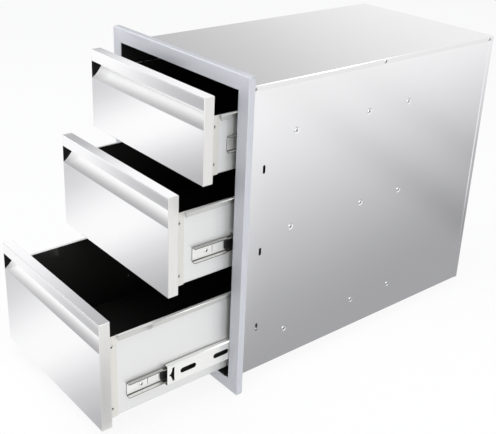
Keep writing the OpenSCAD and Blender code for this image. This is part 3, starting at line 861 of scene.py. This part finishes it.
def channel(kind, number, side, body, cuts, shade_painted_from=None):
    """A rolled channel. The drawer's opens outward, the other two inward and with nibs on their lips."""
    node = f"{kind}_member_{number}_{side}"
    low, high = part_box(node)
    middle = (low.z + high.z) / 2
    inner, outer, half = side_reach(node, side)
    nibs = kind != "drawer"
    if nibs:
        web_x, lip_x, roll_r, edge = outer, inner, OUTER_ROLL_R, half - OUTER_ROLL_R
    else:
        web_x, lip_x, roll_r = inner + SIDES[side] * SLIDE_SHEET, outer, INNER_ROLL_R
        edge = half - SLIDE_SHEET - INNER_ROLL_R
    turn = math.copysign(1, lip_x - web_x)
    bm = cut_blank([(web_x, y, middle + z) for y, z in (
        (low.y, -edge), (high.y, -edge), (high.y, edge), (low.y, edge))])
    for punch_out, y in cuts:
        punch_out(bm, Vector((web_x, low.y + y * MM, middle)))
    facing = Vector((SIDES[side], 0, 0))
    press_flat(bm, facing)
    for end in (1, -1):
        level = middle + end * edge
        edges = edges_where(bm, lambda co: near(co.z, level))
        edges = roll(bm, edges, (web_x + turn * roll_r, 0, level), end * turn * math.pi / 2)
        if nibs:
            edges = fold(bm, edges, (lip_x - web_x - 2 * turn * roll_r, 0, 0))
            edges = roll(bm, edges, (lip_x - turn * roll_r, 0, level), end * turn * math.pi / 2)
            fold(bm, edges, (0, 0, end * (roll_r - NIB)))
        else:
            fold(bm, edges, (lip_x - web_x - turn * roll_r, 0, 0))
    weld(bm)
    orient(bm, facing)
    bm.normal_update()
    for face in bm.faces:
        flat = max(abs(c) for c in face.normal) > FLAT
        face.material_index = BRIGHT if nibs or flat else PAINTED_SHADE
    # Beyond this point the web takes painted shade, where it runs into the cabinet.
    if shade_painted_from:
        shade_y = low.y + shade_painted_from * MM
        bmesh.ops.bisect_plane(bm, geom=bm.verts[:] + bm.edges[:] + bm.faces[:],
                               plane_co=(0, shade_y, 0), plane_no=(0, 1, 0))
        for face in bm.faces:
            if face.calc_center_median().y > shade_y:
                face.material_index = PAINTED_SHADE
    finish_piece(bm, f"{kind}_channel_{number}_{side}", body, ZINC_SLOTS, [node],
                 thickness=SLIDE_SHEET, back=2, rim=1)


def slot(length, width, way=(0, 1, 0), steps=ROUND_STEPS):
    """A punch for a slot, given in mm, that lies along the slide unless its way is given."""
    def punch_out(bm, centre):
        punch(bm, centre, width / 2 * MM, Vector(way) * ((length - width) / 2 * MM), steps)
    return punch_out


CABINET_CUTS = [(slot(26, 6), 159.6), (slot(26, 6), 410)]

for number, side in SLIDES:
    channel("cabinet", number, side, "cabinet", CABINET_CUTS)
print("cabinet members", len(SLIDES), "of sheet", in_mm(SLIDE_SHEET), "mm")

# %% [markdown]
# The middle member carries the drawer member outward. Two arrow-shaped windows and six slots are
# punched in its web, which is what shows most when a drawer stands open. Dark marks could stand for
# them, but through real holes the cages and the member behind are seen to move.

# %% Middle members
ARROW = ((-6, 0), (-2.5, 2.5), (-0.5, 6.5), (0.5, 12), (4.5, 12.5), (4, 5))
TO_FRONT, TO_BACK = 1, -1


def arrow_window(way):
    """Punches an arrow-shaped window that points one way along the slide."""
    def punch_out(bm, centre):
        lower = [(y, -z) for y, z in ARROW[:0:-1]]
        draw_loop(bm, [centre + Vector((0, way * y * MM, z * MM)) for y, z in (*ARROW, *lower)])
    return punch_out


MIDDLE_CUTS = [(arrow_window(TO_FRONT), 9), (slot(30, 9), 39.5), (slot(30, 9), 103.5),
               (arrow_window(TO_BACK), 126)] + [(slot(40, 6), 170 + 80 * n) for n in range(4)]

for number, side in SLIDES:
    channel("middle", number, side, f"middle_members_{number}", MIDDLE_CUTS)
print("middle members with", len(MIDDLE_CUTS), "cut-outs each")

# %% [markdown]
# The drawer member is screwed to the tray, so its web lies inside and its lips stand outward. It is drawn
# on the side that shows, and thickened away from the eye. Its bends are painted dark as shade. Behind the
# latch its web is painted dark for the shade inside the cabinet, so the faces are split there and take
# another slot.

# %% Drawer members
STOP_Y = 37
SHADE_PAINTED_Y = 62
DRAWER_CUTS = [(slot(11, 0.9, way=(0, 0, 1), steps=8), STOP_Y), (slot(40, 6), 265)]

for number, side in SLIDES:
    channel("drawer", number, side, f"drawer_{number}", DRAWER_CUTS, SHADE_PAINTED_Y)
print("drawer members with their stop", STOP_Y, "mm from the front end")

# %% [markdown]
# Rivets and screws are turned parts, so each head is half of its section spun round its axis. A pop rivet
# keeps the hole that its pin was pulled through. A screw has a recess for the driver. Both holes are
# painted dark, as shade. The heads of one kind share an object, because nothing ever moves one of them
# alone.

# %% Rivets and screws
HEAD_STEPS = 20
HEAD_R = 3.4
RIVET_RISE = 1.0
RIVET_RECESS = 1.3
SCREW_RECESS = 1.35
RIVET_HEAD = ((0, -2), (1.9, -2), (1.9, 0), (HEAD_R, 0), (3.2, 0.45), (2.3, 0.9), (1.5, RIVET_RISE),
              (1.1, 0.8), (1, -0.6), (0, -0.7))
SCREW_HEAD = ((0, -2.8), (1.3, -2.7), (1.8, -2.2), (1.8, 0), (HEAD_R, 0), (3.35, 0.7), (2.7, 1.35),
              (1.7, 1.6), (1.5, 1.45), (1.2, 0.5), (0, 0.3))
BACKING_SCREW_Y = 5.5 * MM
BACKING_SCREW_FOOT = 17.5 * MM
BACKING_SCREW_TOP = 16 * MM
MEMBER_SCREW_Y = 74 * MM
MEMBER_SCREW_STEP = 160 * MM


def turn_head(bm, half_section, seat, outward, recess):
    """Spins half a head's section about the axis through its seat, and paints the recess dark as shade."""
    points = [seat + Vector((outward * x, 0, r)) * MM for r, x in half_section]
    bmesh.ops.spin(bm, geom=draw_line(bm, *points), cent=seat, axis=(1, 0, 0), dvec=(0, 0, 0),
                   angle=2 * math.pi, steps=HEAD_STEPS, use_merge=True, use_duplicate=False)
    for face in bm.faces:
        at = (face.calc_center_median() - seat) / MM
        if at.length < 4 and at.x * outward > -1 and math.hypot(at.y, at.z) < recess:
            face.material_index = 1


def fasteners(name, body, node, half_section, recess, seats):
    bm = bmesh.new()
    for seat, outward in seats:
        turn_head(bm, half_section, seat, outward, recess)
    weld(bm)
    bmesh.ops.recalc_face_normals(bm, faces=bm.faces[:])
    finish_piece(bm, name, body, ["fastener_steel", "ball_track"], [node], smooth=40)


def both_sides(x, places):
    return [(Vector((sign * x, y, z)), sign) for sign in SIDES.values() for y, z in places]


lid_low, lid_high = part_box("lid_rivets")
first, last = lid_low.y + HEAD_R * MM, lid_high.y - HEAD_R * MM
RIVETS = {"slide_rivet": [(y, slide_centre(number)) for number in DRAWERS for y in RIVET_Y],
          "lid_rivet": [(y, (lid_low.z + lid_high.z) / 2) for y in (first, (first + last) / 2, last)]}
for name, places in RIVETS.items():
    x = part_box(f"{name}s")[1].x - RIVET_RISE * MM
    fasteners(f"{name}_heads", "cabinet", f"{name}s", RIVET_HEAD, RIVET_RECESS, both_sides(x, places))


def screw_seats(number):
    front = front_box(number)[0].y
    tray_low, tray_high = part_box(f"drawer_{number}_tray")
    backing_low, backing_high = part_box(f"drawer_{number}_backing")
    places = [(backing_low.y + BACKING_SCREW_Y, z) for z in (
        tray_low.z + BACKING_SCREW_FOOT, tray_high.z - BACKING_SCREW_TOP)]
    member = [(front + MEMBER_SCREW_Y + MEMBER_SCREW_STEP * n, slide_centre(number)) for n in range(3)]
    member_x = backing_high.x - SHEET + SLIDE_SHEET
    return both_sides(backing_high.x, places) + both_sides(member_x, member)


for number in DRAWERS:
    fasteners(f"screw_heads_{number}", f"drawer_{number}", f"drawer_{number}_screws", SCREW_HEAD,
              SCREW_RECESS, screw_seats(number))
print("heads turned in", HEAD_STEPS, "steps")

# %% [markdown]
# The release lever is moulded in black plastic: a thin arm, a thumb tab with ribs for grip, and a pin
# at its far end. Moulded edges are never sharp, so each form is bevelled. The forms only overlap,
# because a boolean between such small parts would gain nothing that the eye can see.

# %% Release levers
LEVER_T = 2.4 * MM
LEVER_REACH = 56 * MM
LEVER_ARM_H = 7 * MM
LEVER_INSET = 1 * MM
LEVER_TAB = Vector((3.4, 14, 14)) * MM
RIB = Vector((1.2, 1.0, 10)) * MM
RIB_PLACES = [(3 + 2.7 * n) * MM for n in range(4)]
EYE_R = 5 * MM
PIN_R = 3 * MM
PIN_EDGE_R = 0.3 * MM


def release_lever(number, side):
    node = f"release_lever_{number}_{side}"
    low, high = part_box(node)
    inner, outer, half = side_reach(node, side)
    middle = low.z + half
    pin_y = low.y + LEVER_REACH
    arm_x = outer - SIDES[side] * (LEVER_INSET + LEVER_T / 2)
    arm_half = SIDES[side] * LEVER_T / 2
    blocks = [(arm_x, (low.y + pin_y) / 2, (LEVER_T, LEVER_REACH, LEVER_ARM_H), 0.5 * MM),
              (outer - SIDES[side] * LEVER_TAB.x / 2, low.y + LEVER_TAB.y / 2, LEVER_TAB, 0.8 * MM)]
    blocks += [(outer - SIDES[side] * RIB.x / 2, low.y + y, RIB, 0.25 * MM) for y in RIB_PLACES]
    bm = bmesh.new()
    for x, y, size, radius in blocks:
        soften(bm, list(edges_of(block(bm, Vector((x, y, middle)), size))), radius, 2)
    for radius, x0, x1 in ((EYE_R, arm_x - arm_half, arm_x + arm_half), (PIN_R, inner, arm_x)):
        place = Matrix.Translation(((x0 + x1) / 2, pin_y, middle)) @ UP_TO_SIDE
        verts = bmesh.ops.create_cone(bm, cap_ends=True, segments=24, radius1=radius, radius2=radius,
                                      depth=abs(x1 - x0), matrix=place)["verts"]
        soften(bm, sharper_than(60, edges_of(verts)), PIN_EDGE_R, 2)
    finish_piece(bm, f"lever_{number}_{side}", f"lever_{number}_{side}", ["lever_plastic"], [node])


for number, side in SLIDES:
    release_lever(number, side)
print("levers reach", in_mm(LEVER_REACH), "mm to their pins")

# %% [markdown]
# The studio has a plain floor and three soft lamps: a large one overhead, one at the camera's side
# and one low on the left. To the camera the floor is nearly white by itself, so the unit's shadow
# stays on it but is faint.

# %% Floor and lamps
FLOOR_Z = cad_low.z / MM - 0.5
FLOOR_REACH = 6000
FLOOR_WHITE = 0.86


def floor_material():
    material, tree, shader = new_material("floor")
    set_inputs(tree, shader, Base_Color=(0.92, 0.92, 0.92, 1), Roughness=0.9, Specular_IOR_Level=0.0)
    share = math_node(tree, "MULTIPLY", seen_directly(tree), FLOOR_WHITE)
    white = add_node(tree, "Emission")
    mix = add_node(tree, "MixShader", share, shader.outputs[0], white.outputs[0])
    set_inputs(tree, tree.nodes["Material Output"], Surface=mix.outputs[0])
    return material


def level_sheet(x0, x1, y0, y1, z):
    return [(x0, y0, z), (x1, y0, z), (x1, y1, z), (x0, y1, z)]


def stage_sheet(name, corners, material):
    """A flat sheet of the studio's, through four corners given in mm."""
    bm = cut_blank([Vector(c) * MM for c in corners])
    bmesh.ops.contextual_create(bm, geom=bm.edges[:])
    sheet = add_object(bm, name, [material])
    return sheet


def add_lamp(name, place, target, size, power):
    data = bpy.data.lights.new(name, "AREA")
    data.shape = "RECTANGLE"
    data.size, data.size_y = size, size
    data.energy = power
    lamp = bpy.data.objects.new(name, data)
    lamp.location = place
    lamp.rotation_euler = (Vector(target) - Vector(place)).to_track_quat("-Z", "Y").to_euler()
    bpy.context.collection.objects.link(lamp)


stage_sheet("floor", level_sheet(-FLOOR_REACH, FLOOR_REACH, -FLOOR_REACH, FLOOR_REACH, FLOOR_Z),
            floor_material())
add_lamp("overhead", (0.2, -0.3, 2.6), (0, 0, 0.2), 2.4, 30)
add_lamp("side", (2.4, -0.45, 0.8), (0, -0.2, 0.2), 0.9, 16)
add_lamp("left", (-2.0, -1.7, 1.0), (0, -0.1, 0.2), 1.6, 18)
print("floor at", round(FLOOR_Z, 1), "mm, lamps", len(bpy.data.lights))

# %% [markdown]
# Polished sheet shows what it faces, so a photographer hangs cards round it. These cards are seen in
# reflections only. Each has a soft run of grey from one place to another, given as stops along the
# way, and a stripe across it is a soft streak. A picture of a room could be mirrored instead, but then
# no reflection could be moved without moving the rest. Cards are measured in mm.

# %% Reflection cards
GREY_BLUE = 0.04


def along(tree, place, start, end):
    """How far the place lies on the way from start to end, as 0 to 1."""
    way = (Vector(end) - Vector(start)) * MM
    step = way / way.length_squared
    dot = add_node(tree, "VectorMath", place, step, operation="DOT_PRODUCT")
    return math_node(tree, "SUBTRACT", dot.outputs["Value"], step.dot(Vector(start) * MM))


def card_material(name, start, end, stops, stripes):
    material, tree, _ = new_material(name)
    tree.nodes.clear()
    place = add_node(tree, "TexCoord").outputs["Object"]
    ramp = add_node(tree, "ValToRGB", Fac=along(tree, place, start, end))
    elements = ramp.color_ramp.elements
    ramp.color_ramp.interpolation = "CARDINAL"
    while len(elements) < len(stops):
        elements.new(0.5)
    for element, (at, grey) in zip(elements, stops):
        element.position = at
        element.color = (grey, grey, grey * (1 + GREY_BLUE * (1 - grey)), 1)
    strength = 1.0
    for left, right, depth in stripes:
        across = math_node(tree, "SUBTRACT", along(tree, place, left, right), 0.5)
        fade = add_node(tree, "MapRange", Value=math_node(tree, "ABSOLUTE", across), From_Max=0.5,
                        To_Min=1 - depth)
        fade.interpolation_type = "SMOOTHSTEP"
        strength = math_node(tree, "MULTIPLY", strength, fade.outputs["Result"])
    glow = add_node(tree, "Emission", Color=ramp.outputs["Color"], Strength=strength)
    add_node(tree, "OutputMaterial", Surface=glow.outputs[0])
    return material


def hang_card(name, corners, start, end, stops, stripes=()):
    card = stage_sheet(name, corners, card_material(name, start, end, stops, stripes))
    for ray in ("camera", "diffuse", "transmission", "volume_scatter", "shadow"):
        setattr(card, f"visible_{ray}", False)


print("cards are tinted by", GREY_BLUE, "toward blue where they are dark")

# %% [markdown]
# The wide cards come first. One lies on the floor at each side, and gives the side wall its slow change
# from dark to bright. One hangs over the lid. Real cards stand on their edges, but a card on the floor
# is mirrored by an upright wall just as well, and it stays clear of the lamps.

# %% Wide cards
WALL_TONES = [(0.0, 0.39), (0.12, 0.485), (0.25, 0.62), (0.40, 0.77), (0.60, 0.95), (0.75, 1.0)]


def wall_card(side):
    """Lies on the floor at one side: dark beside the unit, bright far away, with two streaks."""
    def on_floor(*places):
        return [(SIDES[side] * x, y, FLOOR_Z + 2) for x, y in places]

    hang_card(f"wall_card_{side}", on_floor((160, -15), (3400, 2730), (3400, 6000), (160, 6000)),
              *on_floor((180, 0), (1380, -216)), WALL_TONES,
              [(*on_floor((612, 1048), (680, 846)), 0.17), (*on_floor((875, 1464), (955, 1254)), 0.16)])


def lid_card():
    """Hangs above the lid: grey over its front, bright over its back."""
    z = cad_high.z / MM + 22
    hang_card("lid_card", level_sheet(-500, 120, 12, 800, z), (-200, 50, z), (0, 640, z),
              [(0.0, 0.54), (0.5, 0.76), (1.0, 0.94)])


for side in SIDES:
    wall_card(side)
lid_card()
print("side cards start at tone", WALL_TONES[0][1], "and end at", WALL_TONES[-1][1])

# %% [markdown]
# The drawer fronts have small cards of their own, close to them. A face mirrors the camera's line of
# sight, so each card is shifted the way that line runs on from the face. One large card for all the
# fronts would be simpler, but the drawers stand open by different amounts and would share its tones.

# %% Cards for the drawer fronts
BAND_GAP = 24
FACE_GAPS = {1: 24, 2: 24, 3: 11}
FACE_FALL = 0.53
FACE_RUN = 1.5
PULL_FALLS = {1: 0.32, 2: 0.05, 3: 0.32}
PULL_RISE = 0.45
CREASE_LEAN = math.radians(57)
MIDDLE_LEAN = math.radians(45)
FACE_TONES = [(0.05, 0.66), (0.2, 0.77), (0.33, 0.92), (0.45, 1.0), (0.52, 1.0), (0.6, 0.96),
              (0.7, 0.82), (0.8, 0.67), (0.9, 0.56), (1.0, 0.48)]
BAND_TONES = [(0.2, 1.0), (0.35, 0.91), (0.5, 0.78), (0.65, 0.65), (0.8, 0.55), (1.0, 0.48)]
PULL_TONES = [(0.0, 0.38), (0.25, 0.55), (0.5, 0.76), (0.75, 0.97), (0.85, 1.0)]
END_TONES = [(0.1, 0.86), (0.35, 0.66), (0.6, 0.44), (0.8, 0.42), (1.0, 0.52)]
TOP_TONES = {1: [(0.0, 0.60), (0.25, 0.86), (0.4, 0.93), (1.0, 0.98)],
             2: [(0.0, 0.47), (0.2, 0.55), (0.35, 0.72), (0.5, 0.87), (0.65, 0.97), (1.0, 1.0)],
             3: [(0.0, 1.0), (0.25, 0.95), (0.45, 0.82), (0.65, 0.67), (0.85, 0.54), (1.0, 0.49)]}


def front_mm(number):
    low, high, crease_z = front_box(number)
    return low / MM, high / MM, crease_z / MM


def front_cards(number):
    """Stand close in front of a drawer front: grey, white and grey again from corner to corner."""
    low, high, crease_z = front_mm(number)
    glance = (low + high) / 2 - CAMERA_PLACE / MM

    def place_at(gap):
        aside, down = gap * glance.x / glance.y, gap * glance.z / glance.y
        return low.y - gap, low.x + aside, high.x + aside, down

    y, left, right, down = place_at(FACE_GAPS[number])
    crease, foot = crease_z + down, low.z + down
    slope = Vector((1 / (right - left), 0, -FACE_FALL / (crease - foot)))
    way = slope * FACE_RUN / slope.length_squared
    hang_card(f"face_card_{number}", upright_sheet(left - 90, right + 90, y, foot - 30, crease + 8),
              (left, y, crease), (left + way.x, y, crease + way.z), FACE_TONES)
    y, left, right, down = place_at(BAND_GAP)
    band, top = high.z - PULL_BAND / MM + down - 3, high.z + down + 3
    hang_card(f"band_card_{number}", upright_sheet(left - 90, right + 40, y, band, top),
              (left, y, band), (right, y, band), BAND_TONES)


def landing(place, lean, z):
    """How far back the camera's view of a place, mirrored by a leaning face, comes to a height."""
    normal = Vector((0, -math.cos(lean), math.sin(lean)))
    ray = (place - CAMERA_PLACE / MM).reflect(normal)
    return (place + ray * (z - place.z) / ray.z).y


def pull_card(number):
    """Lies above the space before a finger pull, whose curve runs through it from bright to dark."""
    low, high, crease_z = front_mm(number)
    y, z = low.y, high.z + 16
    crease = Vector((0, y, crease_z))
    near_y = landing(crease, CREASE_LEAN, z)
    middle_y = landing(crease + Vector((0, PULL_DEPTH, PULL_DEPTH)) / 2 / MM, MIDDLE_LEAN, z)
    slope = Vector((-PULL_FALLS[number] / (high.x - low.x), PULL_RISE / (middle_y - near_y), 0))
    way = slope / slope.length_squared
    hang_card(f"pull_card_{number}", level_sheet(low.x - 350, high.x, y - 260, y - 3, z),
              (0, near_y, z), (way.x, near_y + way.y, z), PULL_TONES)


def top_card(number):
    """Lies close above a drawer front and gives its upper side a slow change of tone."""
    low, high, _ = front_mm(number)
    y, z = low.y, high.z + 6
    hang_card(f"top_card_{number}", level_sheet(low.x - 12, high.x - 6, y + 2, y + 34, z),
              (low.x - 9, y, z), (high.x - 9, y, z), TOP_TONES[number])


def end_card(number):
    """Stands close beside the end of a drawer front, bright above and grey below."""
    low, high, _ = front_mm(number)
    x, y, foot, top = high.x + 10, low.y, low.z - 6, high.z - 6
    corners = [(x, y + 2, foot), (x, y + 26, foot), (x, y + 26, top), (x, y + 2, top)]
    hang_card(f"end_card_{number}", corners, (x, y, top), (x, y, foot), END_TONES)


def border_card():
    """Lies low behind the top drawer's front, so that the border above is brighter on the right."""
    high = front_mm(1)[1]
    z = high.z - 3
    hang_card("border_card", level_sheet(-20, high.x - 2, high.y + 1, -12, z),
              (-20, 0, z), (25, 0, z), [(0.0, 0.0), (0.5, 0.42), (1.0, 0.7)])


border_card()
for number in DRAWERS:
    front_cards(number)
    pull_card(number)
    top_card(number)
end_card(3)

# %% [markdown]
# The Standard view shows each colour as it was set, so that white stays white. A filmic one would
# bring the bright steel and the background down to grey.

# %% Scene settings
bpy.context.scene.view_settings.view_transform = "Standard"
print("view", bpy.context.scene.view_settings.view_transform)
